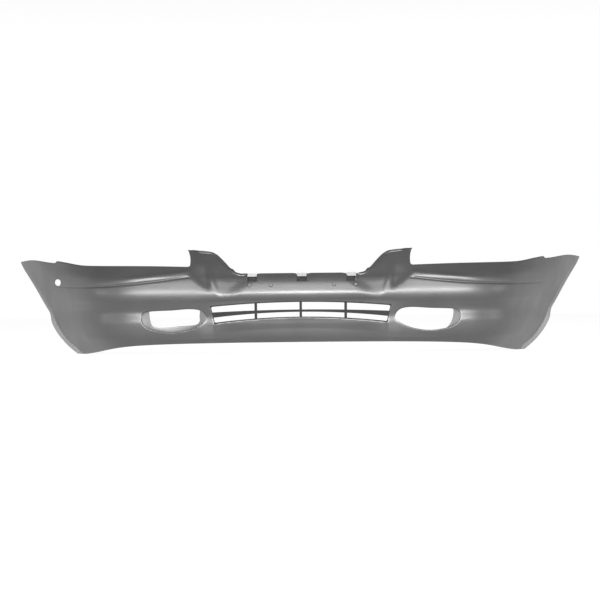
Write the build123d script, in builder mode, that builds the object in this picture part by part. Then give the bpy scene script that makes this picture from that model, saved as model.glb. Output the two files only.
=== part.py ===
from build123d import *
import functools
import math
import os

# Front bumper cover of a mid-size saloon: a thin moulded skin with the small pieces that hold it to the
# car.  +X runs across the car, +Y runs rearwards and +Z is up.  The origin is on the ground plane, under
# the middle of the bounding box.

# ---- Driving dimensions, millimetres ----

DEPTH = 660.0  # nose to wing tip
NOSE_Y = -DEPTH / 2
SKIN = 3.2  # wall of the moulding
FLANGE = 20.0  # width of the returned edges
FLANGE_DROP = 5.0  # the top flange sits this far below the edge, so that the rivet heads stay behind it
REACH = 1100.0  # longer than the whole cover, for cuts that run right through

# Plan view of the nose line: a nearly flat front that turns quickly at each corner.
FRONT_RADIUS = 1700.0
CORNER_TURN = math.radians(30.0)
CORNER_START = 420.0  # distances along the nose line from the centre
CORNER_END = 700.0
PLAN_STEP = 4.0
HALF_LENGTH = 1300.0
SURFACE_TOLERANCE = 0.2
STATIONS = 36  # stations along each half of the nose line
STEPS_PER_ROW = 2  # surface points between two rows of a section

# Upright sections at the middle, the wing front and the wing side: (height, setback from the nose line).
CENTRE_SECTION = [
    (310, 90), (262, 50), (231, 26), (216, 13), (200, 5), (178, 0), (162, 3), (150, 11),
    (107, 20), (85, 21), (55, 29), (35, 45), (15, 64), (-20, 92),
]
WING_SECTION = [
    (310, 88), (262, 44), (231, 15), (216, 6), (198, 2), (178, 0), (160, 3), (145, 12),
    (124, 21), (92, 20), (55, 29), (32, 46), (10, 66), (-20, 92),
]
SIDE_SECTION = [
    (310, -6), (265, 5), (240, 13), (222, 19), (204, 25), (178, 33), (158, 39), (143, 44),
    (122, 51), (92, 56), (60, 65), (35, 76), (10, 90), (-20, 108),
]
CENTRE_HALF = 190.0  # the centre section holds to here
WING_FROM = 340.0  # the wing section is reached here
WING_TO = 560.0
SIDE_FROM = 1000.0

TOP_Z = 231.0  # centre of the top edge
CREASE = [(322, 216), (425, 205), (550, 199), (640, 199), (735, 203)]  # front view of the crease line
CREASE_WIDTH = 7.0
CREASE_DEPTH = 1.4

# The wheel-arch edge in side view: (distance behind the nose, height), from the tip down.
ARCH = [(652, 270), (612, 233), (560, 175), (520, 117), (492, 71), (470, 44), (455, 28), (415, 0)]

# The bottom edge in front view, from the foot of the wheel arch to the centre.
LIP = [(650, 0), (628, 3), (542, 20), (426, 31), (282, 35), (0, 37)]
LIP_RAISE = 5.0  # the lower flange sits this far above the lip

# The returned edge along each wheel arch, measured along the car.
ARCH_FLANGE = SKIN + 0.8
ARCH_SPARE = 6.0  # cut away again when the skin is trimmed
ARCH_SINE = 0.8  # share of the flange's length along the car that is left at right angles to it

# Lower intake: its returned rim, and the grille's upright ribs and vane behind the skin.
INTAKE_END = 254.0
RIM_DEPTH = 10.0
RIB_X = 126.0
RIB_WIDTH = 7.0
BAR_DEPTH = 24.0

# Fog-lamp mouth in front view and the smaller opening at the back of its sleeve.
MOUTH = (266.0, 452.0, 67.0, 131.0)  # inner x, outer x, lowest z, highest z
SLEEVE_BACK_RIGHT = (271.0, 435.0, 67.0, 130.0)
SLEEVE_BACK_LEFT = (286.0, 433.0, 70.0, 130.0)
SLEEVE_FRONT = (261.0, 491.0, 63.0, 134.0)  # where the sleeve's taper would start, ahead of the skin
SLEEVE_FRONT_Y = NOSE_Y + 20.0
SLEEVE_BACK_Y = NOSE_Y + 122.0
SLEEVE_WALL = 2.5
SLEEVE_GAP = 0.2  # the sleeve stands this far behind the skin
EAR_R = 9.0  # the screw ears and the collar between them
EAR_THICKNESS = 3.0
EAR_OUT = 11.0  # from the end of the back opening to the screw
LAMP_SCREW_R = 2.5

# Small openings of the skin.
NOTCH_WIDTH = 33.0  # notches for the grille clips
NOTCH_Z = 208.0
NOTCH_HEIGHT = 20.0
HOLE_X = 726.0  # oval hole of the left wing
HOLE_Z = 214.5
HOLE_WIDTH = 24.0
HOLE_HEIGHT = 19.0
PLUG_X = (-142.0, -83.0, 93.0, 154.0)  # number-plate screw plugs
PLUG_Z = 197.0
PLUG_HOLE_R = 3.6
PLUG_HEAD_R = 5.5
PLUG_LENGTH = 9.0

# Grille clips over the top edge.
CLIPS = [("left", -133.0), ("centre", 6.0), ("right", 145.0)]
CLIP_WIDTH = 26.0
CLIP_GAUGE = 1.2
CLIP_GAP = 0.2

# Top retainer and fender brackets, both behind the skin.
RETAINER_HALF = 160.0
RETAINER_GAUGE = 2.0
RETAINER_DROP = 22.0
BRACKET_FROM = 430.0
BRACKET_TO = 690.0
BRACKET_HEIGHT = 26.0
BRACKET_Z = 258.0
BRACKET_GAUGE = 2.0
STUDS = [(510.0, 242.0), (590.0, 244.0), (670.0, 250.0)]  # x, z
STUD_R = 3.0
STUD_LENGTH = 18.0

# Push rivets through the top flange: name, x, height of the edge there.
RIVETS = [("retainer", 70.0, 231.0), ("wing_inner", 470.0, 257.0), ("wing_outer", 640.0, 264.0)]
RIVET_HOLE_R = 4.1
RIVET_LIFT = 0.35
RIVET_DEPTH = 13.5  # from the skin surface to the rivet axis
RIVET_HEAD = 2.0
RIVET_HEAD_R = 5.8
RIVET_LENGTH = 12.0
RIVET_SLOT = 1.2
PIN_R = 2.1
PIN_CLEARANCE = 0.06
PIN_HEAD_R = 4.0
PIN_HEAD = 1.6

# Folded spring nuts on the lower flange and along the wheel arches.
NUT_X = (100.0, 330.0)
ARCH_NUT_Z = (60.0, 140.0, 210.0)
NUT_LENGTH = 13.0
NUT_WIDTH = 14.0
NUT_GAUGE = 1.2
NUT_R = 2.5  # thread
NUT_BARREL_R = 4.5
NUT_BARREL_HEIGHT = 6.0
NUT_REACH = 6.0  # from the free edge of the flange to the thread
NUT_LIP = 2.6  # the fold stands this far clear of the free edge

FRONT = Plane.XZ.offset(-REACH / 2)  # sketches in front view, extruded forwards through the whole cover
SIDE = Plane.YZ.offset(-REACH)  # sketches in side view, extruded across the whole cover


# ---- The skin surface ----


def ease(value):
    """Goes smoothly from 0 to 1."""
    value = min(1.0, max(0.0, value))
    return value * value * (3 - 2 * value)


def turn_at(distance):
    """Direction of the nose line, from straight across the car."""
    corner = ease((distance - CORNER_START) / (CORNER_END - CORNER_START))
    return distance / FRONT_RADIUS + CORNER_TURN * corner


def nose_line():
    """Points along one half of the nose line, PLAN_STEP apart."""
    x, y, distance = 0.0, NOSE_Y, 0.0
    points = [(x, y)]
    while distance < HALF_LENGTH + 100:
        turn = turn_at(distance + PLAN_STEP / 2)
        x += PLAN_STEP * math.cos(turn)
        y += PLAN_STEP * math.sin(turn)
        distance += PLAN_STEP
        points.append((x, y))
    return points


NOSE_LINE = nose_line()


def nose_at(distance):
    """Place and direction of the nose line at a distance from the centre, either side."""
    side = -1 if distance < 0 else 1
    steps = abs(distance) / PLAN_STEP
    index = int(steps)
    (x0, y0), (x1, y1) = NOSE_LINE[index], NOSE_LINE[index + 1]
    part = steps - index
    return side * (x0 + (x1 - x0) * part), y0 + (y1 - y0) * part, side * turn_at(abs(distance))


def section_at(distance):
    """The upright section there, blended from the three that are given."""
    wing = ease((abs(distance) - CENTRE_HALF) / (WING_FROM - CENTRE_HALF))
    side = ease((abs(distance) - WING_TO) / (SIDE_FROM - WING_TO))
    rows = []
    for (z0, d0), (z1, d1), (z2, d2) in zip(CENTRE_SECTION, WING_SECTION, SIDE_SECTION):
        z = z0 + (z1 - z0) * wing
        setback = d0 + (d1 - d0) * wing
        rows.append((z + (z2 - z) * side, setback + (d2 - setback) * side))
    return rows


def on_section(rows, place):
    """A point of the smooth curve through the rows; place counts rows from the top."""
    index = min(int(place), len(rows) - 2)
    f = place - index
    a, b, c, d = (rows[max(0, min(len(rows) - 1, index + k))] for k in (-1, 0, 1, 2))
    values = []
    for p, q, r, s in zip(a, b, c, d):
        cubic = 1.5 * (q - r) + 0.5 * (s - p)
        values.append(q + f * (0.5 * (r - p) + f * (p - 2.5 * q + 2 * r - 0.5 * s + f * cubic)))
    return values


def skin_points(depth):
    """Rows of points of the skin surface, moved inwards by depth."""
    reach = HALF_LENGTH + depth
    lines = []
    for i in range(-STATIONS, STATIONS + 1):
        distance = reach * i / STATIONS
        x, y, turn = nose_at(distance)
        rows = section_at(distance)
        line = []
        for k in range((len(rows) - 1) * STEPS_PER_ROW + 1):
            z, setback = on_section(rows, k / STEPS_PER_ROW)
            inwards = setback + depth
            line.append((x - inwards * math.sin(turn), y + inwards * math.cos(turn), z))
        lines.append(line)
    return lines


def skin_point(distance, height, depth=0.0):
    """The point of the skin surface at a distance along the nose line and a height."""
    rows = section_at(distance)
    low, high = 0.0, len(rows) - 1.0
    while high - low > 1e-6:
        middle = (low + high) / 2
        if on_section(rows, middle)[0] > height:
            low = middle
        else:
            high = middle
    inwards = on_section(rows, low)[1] + depth
    x, y, turn = nose_at(distance)
    return Vector(x - inwards * math.sin(turn), y + inwards * math.cos(turn), height)


def distance_where(axis, value, height, depth=0.0):
    """Distance along the right half at which the surface has that x (axis 0) or y (axis 1)."""
    low, high = 0.0, HALF_LENGTH
    while high - low > 1e-4:
        middle = (low + high) / 2
        if tuple(skin_point(middle, height, depth))[axis] < value:
            low = middle
        else:
            high = middle
    return low


def skin_at_x(x, height, depth=0.0):
    """The point of the skin surface seen at x and height from the front."""
    side = -1 if x < 0 else 1
    point = skin_point(distance_where(0, abs(x), height, depth), height, depth)
    return Vector(side * point.X, point.Y, point.Z)


def skin_plane(x, height, depth=0.0):
    """A plane on the skin, facing outwards, with its own x along the cover."""
    across = skin_at_x(x + 2, height, depth) - skin_at_x(x - 2, height, depth)
    up = skin_at_x(x, height + 2, depth) - skin_at_x(x, height - 2, depth)
    return Plane(skin_at_x(x, height, depth), x_dir=across, z_dir=across.cross(up))


@functools.cache
def behind(depth):
    """Everything behind the skin surface moved inwards by depth."""
    face = Face.make_surface_from_array_of_points(skin_points(depth), tol=SURFACE_TOLERANCE)
    with BuildPart() as block:
        extrude(face, amount=REACH, dir=(0, 1, 0))
    return block.part


@functools.cache
def layer(outer, inner):
    """The body between two depths under the skin surface."""
    with BuildPart() as body:
        add(behind(outer))
        add(behind(inner), mode=Mode.SUBTRACT)
    return body.part


# ---- Outlines in front view ----


def whole_outline():
    """The cover's top and bottom edges; its sides run out past the wheel arches."""
    with BuildSketch() as outline:
        with BuildLine():
            Polyline((0, TOP_Z), (165, TOP_Z))
            Spline((165, TOP_Z), (181, 235), (199, 249), (223, 274), (238, 287), (252, 294.5))
            Spline((252, 294.5), (284, 298.5), (321, 301))
            Spline((321, 301), (314, 286), (311.5, 271), (311.5, 259))
            RadiusArc((311.5, 259), (318.5, 252), 7)
            Spline((318.5, 252), (426, 255.5), (604, 260.5), (648, 264), (690, 272), (727, 279))
            Polyline((727, 279), (735, 273))
            Spline((735, 273), (760, 276), (827, 286), (870, 285))
            Polyline((870, 285), (960, 283), (960, 0), (650, 0))
            Spline(*LIP)
            mirror(about=Plane.YZ)
        make_face()
    return outline.sketch


def arch_side():
    """Everything ahead of the wheel-arch edge, in side view."""
    tip_y = NOSE_Y + DEPTH
    points = [(NOSE_Y + y, z) for y, z in ARCH]
    with BuildSketch() as side:
        with BuildLine():
            Spline(*points)
            Line((points[0][0], points[0][1]), (tip_y, 279))
            Polyline((tip_y, 279), (tip_y, 330), (NOSE_Y - 50, 330), (NOSE_Y - 50, -40))
            Polyline((NOSE_Y - 50, -40), (points[-1][0] - 20, -40), points[-1])
        make_face()
    return side.sketch


def intake_mouth(grow=0.0):
    """The lower intake, or the same shape grown all round."""
    with BuildSketch() as mouth:
        with BuildLine():
            ThreePointArc((-INTAKE_END, 139), (0, 151), (INTAKE_END, 139))
            Line((INTAKE_END, 139), (INTAKE_END - 11, 92))
            ThreePointArc((INTAKE_END - 11, 92), (0, 107), (11 - INTAKE_END, 92))
            Line((11 - INTAKE_END, 92), (-INTAKE_END, 139))
        make_face()
        fillet(mouth.vertices(), 5)
        if grow:
            offset(amount=grow, mode=Mode.REPLACE)
    return mouth.sketch


# The fog-lamp shape as shares of its width and height, clockwise from the middle of its inner side.
LAMP = [
    (0, 0.60), (0.05, 0.88), (0.16, 1), (0.5, 0.975), (0.86, 0.93), (0.985, 0.8), (1, 0.62),
    (0.985, 0.42), (0.90, 0.2), (0.72, 0.05), (0.54, 0), (0.3, 0.09), (0.09, 0.32),
]


def lamp_outline(corners, grow=0.0):
    """The fog-lamp shape fitted between the given sides, each moved out by grow."""
    inner, outer, low, high = corners
    width, height = outer - inner + 2 * grow, high - low + 2 * grow
    with BuildSketch() as shape:
        with BuildLine():
            Spline(*[(inner - grow + u * width, low - grow + v * height) for u, v in LAMP], periodic=True)
        make_face()
    return shape.sketch


# ---- The moulded skin ----


def top_band(thickness):
    """The strip of that thickness inside the top edge, fangs and headlamp edges."""
    outline = whole_outline()
    with BuildSketch() as inside:
        add(outline)
        for shift in ((0, -thickness), (thickness, 0), (-thickness, 0)):
            with Locations(shift):
                add(outline, mode=Mode.INTERSECT)
    with BuildSketch() as band:
        add(outline)
        add(inside.sketch, mode=Mode.SUBTRACT)
        with Locations((0, 160)):
            Rectangle(1450, 200, align=(Align.CENTER, Align.MIN), mode=Mode.INTERSECT)
    with BuildSketch() as lowered:
        with Locations((0, -FLANGE_DROP)):
            add(band.sketch)
        add(outline, mode=Mode.INTERSECT)
    return lowered.sketch


def lower_band():
    """The strip that the lower flange shows in front view, just above the lip."""
    outline = whole_outline()
    with BuildSketch() as band:
        with Locations((0, LIP_RAISE)):
            add(outline)
        with Locations((0, LIP_RAISE + SKIN)):
            add(outline, mode=Mode.SUBTRACT)
        Rectangle(1180, 200, mode=Mode.INTERSECT)
    return band.sketch


def arch_flange():
    """The strip turned inwards along each wheel arch, left too wide at the edge and trimmed with the skin."""
    edge = arch_side()
    with BuildPart() as strip:
        with BuildSketch(SIDE):
            with Locations((ARCH_SPARE, 0)):
                add(edge)
            with Locations((-ARCH_FLANGE, 0)):
                add(edge, mode=Mode.SUBTRACT)
            Rectangle(2 * REACH, 560, mode=Mode.INTERSECT)
        extrude(amount=2 * REACH)
        add(behind(SKIN / 2), mode=Mode.INTERSECT)
        add(behind(FLANGE), mode=Mode.SUBTRACT)
    return strip.part


def front_cuts():
    """The openings of the skin in front view."""
    with BuildSketch() as cuts:
        add(intake_mouth())
        add(lamp_outline(MOUTH))
        mirror(about=Plane.YZ)
        for _, x in CLIPS:
            with Locations((x, NOTCH_Z)):
                Rectangle(NOTCH_WIDTH, NOTCH_HEIGHT, align=(Align.CENTER, Align.MIN))
    return cuts.sketch


def crease_band():
    """The groove along each wing, in front view."""
    with BuildSketch() as band:
        for side in (-1, 1):
            with BuildLine() as path:
                Spline(*[(side * x, z) for x, z in CREASE])
            trace(path.line, line_width=CREASE_WIDTH)
    return band.sketch


def crease_cut():
    """The groove as a body that only reaches part of the way through the skin."""
    with BuildPart() as cut:
        add(layer(0.0, CREASE_DEPTH))
        with BuildSketch(FRONT):
            add(crease_band())
        extrude(amount=REACH, mode=Mode.INTERSECT)
    return cut.part


def wing_hole():
    """The oval hole near the end of one wing's crease."""
    with BuildSketch() as slot:
        with Locations((-HOLE_X, HOLE_Z)):
            SlotOverall(HOLE_WIDTH, HOLE_HEIGHT)
    return slot.sketch


def cut_band(outer, inner, sketch):
    """A layer under the skin surface, kept where the sketch shows in front view."""
    with BuildPart() as body:
        with BuildSketch(FRONT):
            add(sketch)
        extrude(amount=REACH)
        add(behind(outer), mode=Mode.INTERSECT)
        add(behind(inner), mode=Mode.SUBTRACT)
    return body.part


def intake_rim():
    """The short returned wall round the lower intake."""
    with BuildSketch() as ring:
        add(intake_mouth(SKIN))
        add(intake_mouth(), mode=Mode.SUBTRACT)
    return cut_band(SKIN / 2, RIM_DEPTH, ring.sketch)


def rivet_planes():
    """Upright planes on the top flange where the push rivets sit: retainer, then each wing."""
    planes = {}
    for name, x, z in RIVETS:
        for side, sign in (("left", -1), ("right", 1)):
            spot = skin_at_x(sign * x, z, RIVET_DEPTH)
            seat = z - FLANGE_DROP + RIVET_LIFT
            planes[name + "_" + side] = Plane(Vector(spot.X, spot.Y, seat), z_dir=(0, 0, 1))
    return planes


def nut_planes():
    """Planes on top of the lower flange, x pointing inwards to its free edge."""
    planes = []
    for x in NUT_X:
        for sign in (-1, 1):
            z = lip_height(x) + LIP_RAISE + SKIN / 2
            edge = skin_at_x(sign * x, z, FLANGE)
            turn = nose_at(math.copysign(distance_where(0, x, z), sign))[2]
            inwards = Vector(-math.sin(turn), math.cos(turn), 0)
            planes.append(Plane(edge, x_dir=inwards, z_dir=(0, 0, 1)))
    return planes


def place_on(curve, axis, wanted):
    """The point of a falling curve at which that coordinate has the wanted value."""
    low, high = 0.0, 1.0
    for _ in range(30):
        middle = (low + high) / 2
        if tuple(curve @ middle)[axis] > wanted:
            low = middle
        else:
            high = middle
    return curve @ low


def lip_height(x):
    """Height of the bottom edge in front view at x."""
    with BuildLine() as edge:
        Spline(*LIP)
    return place_on(edge.line, 0, abs(x)).Y


def arch_y(height):
    """Place of the wheel-arch edge at a height."""
    with BuildLine() as edge:
        Spline(*[(NOSE_Y + y, z) for y, z in ARCH])
    return place_on(edge.line, 1, height).X


def arch_point(height, depth=0.0):
    """The wheel-arch edge of the right wing at a height."""
    y = arch_y(height)
    return skin_point(distance_where(1, y, height, depth), height, depth)


def arch_plane(height):
    """A plane on the middle of the arch flange, x pointing to its free edge and z into the wing."""
    along = (arch_point(height + 4, FLANGE) - arch_point(height - 4, FLANGE)).normalized()
    forwards = Vector(0, -along.Z, along.Y).normalized()
    inwards = along.cross(forwards)
    if inwards.X > 0:
        inwards = -inwards
    middle = arch_point(height, FLANGE) + forwards * (ARCH_FLANGE * ARCH_SINE / 2)
    return Plane(middle, x_dir=inwards, z_dir=forwards)


def build_fascia():
    planes = rivet_planes()
    with BuildPart() as fascia:
        add(layer(0.0, SKIN))
        add(arch_flange())
        with BuildSketch(FRONT):
            add(whole_outline())
        extrude(amount=REACH, mode=Mode.INTERSECT)
        with BuildSketch(FRONT):
            add(front_cuts())
            add(wing_hole())
        extrude(amount=REACH, mode=Mode.SUBTRACT)
        add(crease_cut(), mode=Mode.SUBTRACT)
        add(intake_rim())
        add(cut_band(SKIN / 2, FLANGE, top_band(SKIN)))
        add(cut_band(SKIN / 2, FLANGE, lower_band()))
        with BuildSketch(SIDE):
            add(arch_side())
        extrude(amount=2 * REACH, mode=Mode.INTERSECT)
        for plane in planes.values():
            with BuildSketch(plane.offset(-12)):
                Circle(RIVET_HOLE_R)
            extrude(amount=24, mode=Mode.SUBTRACT)
        for plane in nut_planes():
            with BuildSketch(plane.offset(-6)):
                with Locations((-NUT_REACH, 0)):
                    Circle(NUT_R + 1)
            extrude(amount=12, mode=Mode.SUBTRACT)
        for plane in arch_nut_planes(1) + arch_nut_planes(-1):
            with BuildSketch(plane.offset(-6)):
                with Locations((-NUT_REACH, 0)):
                    Circle(NUT_R + 1)
            extrude(amount=12, mode=Mode.SUBTRACT)
        for x in PLUG_X:
            with BuildSketch(skin_plane(x, PLUG_Z).offset(-15)):
                Circle(PLUG_HOLE_R)
            extrude(amount=30, mode=Mode.SUBTRACT)
    finish(fascia.part, "fascia")


def finish(piece, name):
    """Labels a piece and writes it."""
    piece.label = name
    export_step(piece, "parts/" + name + ".step")


# ---- Intake grille ----


def grille_bars():
    """Three upright ribs and the vane between them, in front view."""
    with BuildSketch() as bars:
        with Locations(*[(x, 120) for x in (-RIB_X, 0, RIB_X)]):
            Rectangle(RIB_WIDTH, 90)
        with BuildLine():
            ThreePointArc((-INTAKE_END - 4, 122), (0, 128.5), (INTAKE_END + 4, 122))
            Line((INTAKE_END + 4, 122), (INTAKE_END + 4, 106))
            ThreePointArc((INTAKE_END + 4, 106), (0, 122), (-INTAKE_END - 4, 106))
            Line((-INTAKE_END - 4, 106), (-INTAKE_END - 4, 122))
        make_face()
        add(intake_mouth(-0.5), mode=Mode.INTERSECT)
    return bars.sketch


def build_intake_grille():
    with BuildSketch() as ring:
        add(intake_mouth(9))
        add(intake_mouth(-1.5), mode=Mode.SUBTRACT)
    with BuildPart() as grille:
        add(cut_band(SKIN + 0.3, BAR_DEPTH, grille_bars()))
        add(cut_band(RIM_DEPTH + 0.3, RIM_DEPTH + 3.3, ring.sketch))
    finish(grille.part, "intake_grille")


# ---- Fog-lamp sleeves ----


def sleeve_loft(back, grow):
    """The tapered body between the skin and the back of the sleeve, grown all round."""
    with BuildPart() as body:
        with BuildSketch(Plane.XZ.offset(-SLEEVE_FRONT_Y)):
            add(lamp_outline(SLEEVE_FRONT, grow))
        with BuildSketch(Plane.XZ.offset(-SLEEVE_BACK_Y)):
            add(lamp_outline(back, grow))
        loft()
    return body.part


def build_fog_sleeves():
    for name, back, about in (
        ("right", SLEEVE_BACK_RIGHT, None),
        ("left", SLEEVE_BACK_LEFT, Plane.YZ),
    ):
        middle_z = (back[2] + back[3]) / 2
        screws = [(back[0] - EAR_OUT, middle_z), (back[1] + EAR_OUT, middle_z)]
        with BuildPart() as sleeve:
            add(sleeve_loft(back, SLEEVE_WALL))
            add(behind(SKIN + SLEEVE_GAP), mode=Mode.INTERSECT)
            with BuildSketch(Plane.XZ.offset(-SLEEVE_BACK_Y)):
                add(lamp_outline(back, EAR_R))
                with Locations(*screws):
                    Circle(EAR_R)
            extrude(amount=EAR_THICKNESS)
            add(sleeve_loft(back, 0.0), mode=Mode.SUBTRACT)
            with BuildSketch(Plane.XZ.offset(-SLEEVE_BACK_Y - 5)):
                add(lamp_outline(back))
                with Locations(*screws):
                    Circle(LAMP_SCREW_R)
            extrude(amount=10, mode=Mode.SUBTRACT)
            if about:
                mirror(about=about, mode=Mode.REPLACE)
        finish(sleeve.part, "fog_sleeve_" + name)


# ---- Small pieces of the top edge ----


def build_grille_clips():
    """Spring clips over the top edge: a tab in front of the notch, a roof and a tail behind the flange."""
    for name, x in CLIPS:
        edge = skin_at_x(x, TOP_Z)
        with BuildPart() as clip:
            with Locations((x - 2, edge.Y - 2.0, TOP_Z + CLIP_GAP)):
                Box(CLIP_WIDTH, FLANGE + 5.0, CLIP_GAUGE, align=(Align.CENTER, Align.MIN, Align.MIN))
            with Locations((x - 2, edge.Y + FLANGE + 3.0, TOP_Z + CLIP_GAP + CLIP_GAUGE)):
                Box(CLIP_WIDTH, CLIP_GAUGE, 11, align=(Align.CENTER, Align.MAX, Align.MAX))
            with BuildSketch(skin_plane(x, TOP_Z - 2).offset(CLIP_GAP)):
                with Locations((-2, -3.2)):
                    Rectangle(CLIP_WIDTH, 13.6)
            extrude(amount=CLIP_GAUGE)
        finish(clip.part, "grille_clip_" + name)


def edge_strip(start, end, height, near, far):
    """Plan view of an upright strip that follows the skin at a height, between two depths."""
    distances = [start + (end - start) * i / 8 for i in range(9)]
    front = [tuple(skin_point(distance, height, near))[:2] for distance in distances]
    back = [tuple(skin_point(distance, height, far))[:2] for distance in reversed(distances)]
    with BuildSketch() as strip:
        with BuildLine():
            Spline(*front)
            Line(front[-1], back[0])
            Spline(*back)
            Line(back[-1], front[0])
        make_face()
    return strip.sketch


def build_top_retainer():
    planes = rivet_planes()
    leaf_z = TOP_Z - FLANGE_DROP - SKIN - RETAINER_GAUGE
    with BuildPart() as retainer:
        with BuildSketch(Plane.XY.offset(leaf_z)):
            add(edge_strip(-RETAINER_HALF, RETAINER_HALF, TOP_Z, SKIN + 0.5, FLANGE))
        extrude(amount=RETAINER_GAUGE)
        with BuildSketch(Plane.XY.offset(leaf_z - RETAINER_DROP)):
            add(edge_strip(-RETAINER_HALF, RETAINER_HALF, TOP_Z, FLANGE - RETAINER_GAUGE, FLANGE))
        extrude(amount=RETAINER_DROP)
        for side in ("left", "right"):
            with BuildSketch(planes["retainer_" + side].offset(-12)):
                Circle(RIVET_HOLE_R)
            extrude(amount=24, mode=Mode.SUBTRACT)
    finish(retainer.part, "top_retainer")


# ---- Fender brackets ----


def headlamp_strip(drop, height):
    """The strip that lies drop below the headlamp edge and is height tall, in front view."""
    outline = whole_outline()
    with BuildSketch() as strip:
        with Locations((0, -drop)):
            add(outline)
        with Locations((0, -drop - height)):
            add(outline, mode=Mode.SUBTRACT)
        with Locations(((BRACKET_FROM + BRACKET_TO) / 2, 200)):
            Rectangle(BRACKET_TO - BRACKET_FROM, 300, mode=Mode.INTERSECT)
    return strip.sketch


def build_fender_brackets():
    planes = rivet_planes()
    start = distance_where(0, BRACKET_FROM - 40, BRACKET_Z, FLANGE)
    end = distance_where(0, BRACKET_TO + 40, BRACKET_Z, FLANGE)
    drop = FLANGE_DROP + SKIN + 0.6
    with BuildPart() as bracket:
        with BuildSketch(Plane.XY.offset(BRACKET_Z - BRACKET_HEIGHT)):
            add(edge_strip(start, end, BRACKET_Z, FLANGE - BRACKET_GAUGE, FLANGE))
        extrude(amount=BRACKET_HEIGHT + 40)
        with BuildSketch(FRONT):
            add(headlamp_strip(drop, BRACKET_HEIGHT))
        extrude(amount=REACH, mode=Mode.INTERSECT)
        add(cut_band(SKIN + 0.5, FLANGE, headlamp_strip(drop, BRACKET_GAUGE)))
        for name in ("wing_inner", "wing_outer"):
            with BuildSketch(planes[name + "_right"].offset(-12)):
                Circle(RIVET_HOLE_R)
            extrude(amount=24, mode=Mode.SUBTRACT)
        for x, z in STUDS:
            plane = stud_plane(x, z)
            with BuildSketch(plane.offset(-1)):
                Circle(STUD_R)
            extrude(amount=STUD_LENGTH + 1)
            with BuildSketch(plane.offset(-0.5)):
                RegularPolygon(STUD_R * 2.2, 6)
            extrude(amount=3)
    right = bracket.part
    finish(right, "fender_bracket_right")
    with BuildPart() as twin:
        add(right)
        mirror(about=Plane.YZ, mode=Mode.REPLACE)
    finish(twin.part, "fender_bracket_left")


def stud_plane(x, z):
    """The back of the bracket's web, facing into the car."""
    spot = skin_at_x(x, BRACKET_Z, FLANGE)
    turn = nose_at(distance_where(0, x, BRACKET_Z, FLANGE))[2]
    return Plane(Vector(spot.X, spot.Y, z), x_dir=(0, 0, 1), z_dir=(-math.sin(turn), math.cos(turn), 0))


# ---- Fasteners ----


def build_plate_plugs():
    planes = [skin_plane(x, PLUG_Z) for x in PLUG_X]
    with BuildPart(*planes) as plugs:
        with BuildSketch(*[plane.offset(-PLUG_LENGTH) for plane in planes]):
            Circle(PLUG_HOLE_R - 0.15)
        extrude(amount=PLUG_LENGTH + 0.2)
        with BuildSketch(*[plane.offset(0.15) for plane in planes]):
            Circle(PLUG_HEAD_R)
        extrude(amount=2.2, taper=30)
    finish(plugs.part, "plate_plugs")


def build_push_rivets():
    for name, plane in rivet_planes().items():
        with BuildPart() as body:
            with BuildSketch(plane):
                Circle(RIVET_HEAD_R)
            extrude(amount=RIVET_HEAD)
            with BuildSketch(plane):
                Circle(RIVET_HOLE_R - 0.2)
            extrude(amount=-RIVET_LENGTH)
            with BuildSketch(plane.offset(-RIVET_LENGTH)):
                Rectangle(RIVET_SLOT, 20)
                Rectangle(20, RIVET_SLOT)
            extrude(amount=RIVET_LENGTH - 6, mode=Mode.SUBTRACT)
            with BuildSketch(plane.offset(-RIVET_LENGTH - 1)):
                Circle(PIN_R + PIN_CLEARANCE)
            extrude(amount=RIVET_LENGTH + RIVET_HEAD + 2, mode=Mode.SUBTRACT)
        finish(body.part, "rivet_body_" + name)
        with BuildPart() as pin:
            with BuildSketch(plane.offset(-RIVET_LENGTH)):
                Circle(PIN_R)
            extrude(amount=RIVET_LENGTH + RIVET_HEAD + 1)
            with BuildSketch(plane.offset(RIVET_HEAD + 0.1)):
                Circle(PIN_HEAD_R)
            extrude(amount=PIN_HEAD, taper=20)
        finish(pin.part, "rivet_pin_" + name)


def spring_nuts(planes, name):
    """Folded sheet nuts, each pushed over the free edge of a flange and centred on its thickness."""
    gap = SKIN / 2 + 0.45
    with BuildPart(*planes) as nuts:
        with Locations((NUT_LIP - NUT_LENGTH, 0, gap)):
            Box(NUT_LENGTH, NUT_WIDTH, NUT_GAUGE, align=(Align.MIN, Align.CENTER, Align.MIN))
        with Locations((NUT_LIP - NUT_LENGTH, 0, -gap)):
            Box(NUT_LENGTH, NUT_WIDTH, NUT_GAUGE, align=(Align.MIN, Align.CENTER, Align.MAX))
        with Locations((NUT_LIP, 0, 0)):
            Box(NUT_GAUGE, NUT_WIDTH, 2 * (gap + NUT_GAUGE), align=(Align.MIN, Align.CENTER, Align.CENTER))
        with Locations((-NUT_REACH, 0, gap)):
            Cylinder(NUT_BARREL_R, NUT_BARREL_HEIGHT, align=(Align.CENTER, Align.CENTER, Align.MIN))
        with Locations((-NUT_REACH, 0, 0)):
            Cylinder(NUT_R, 40, mode=Mode.SUBTRACT)
    finish(nuts.part, name)


def arch_nut_planes(sign):
    """Planes of one side's wheel-arch nuts."""
    planes = []
    for height in ARCH_NUT_Z:
        plane = arch_plane(height)
        if sign < 0:
            origin = Vector(-plane.origin.X, plane.origin.Y, plane.origin.Z)
            x_dir = Vector(-plane.x_dir.X, plane.x_dir.Y, plane.x_dir.Z)
            z_dir = Vector(-plane.z_dir.X, plane.z_dir.Y, plane.z_dir.Z)
            plane = Plane(origin, x_dir=x_dir, z_dir=z_dir)
        planes.append(plane)
    return planes


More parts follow.
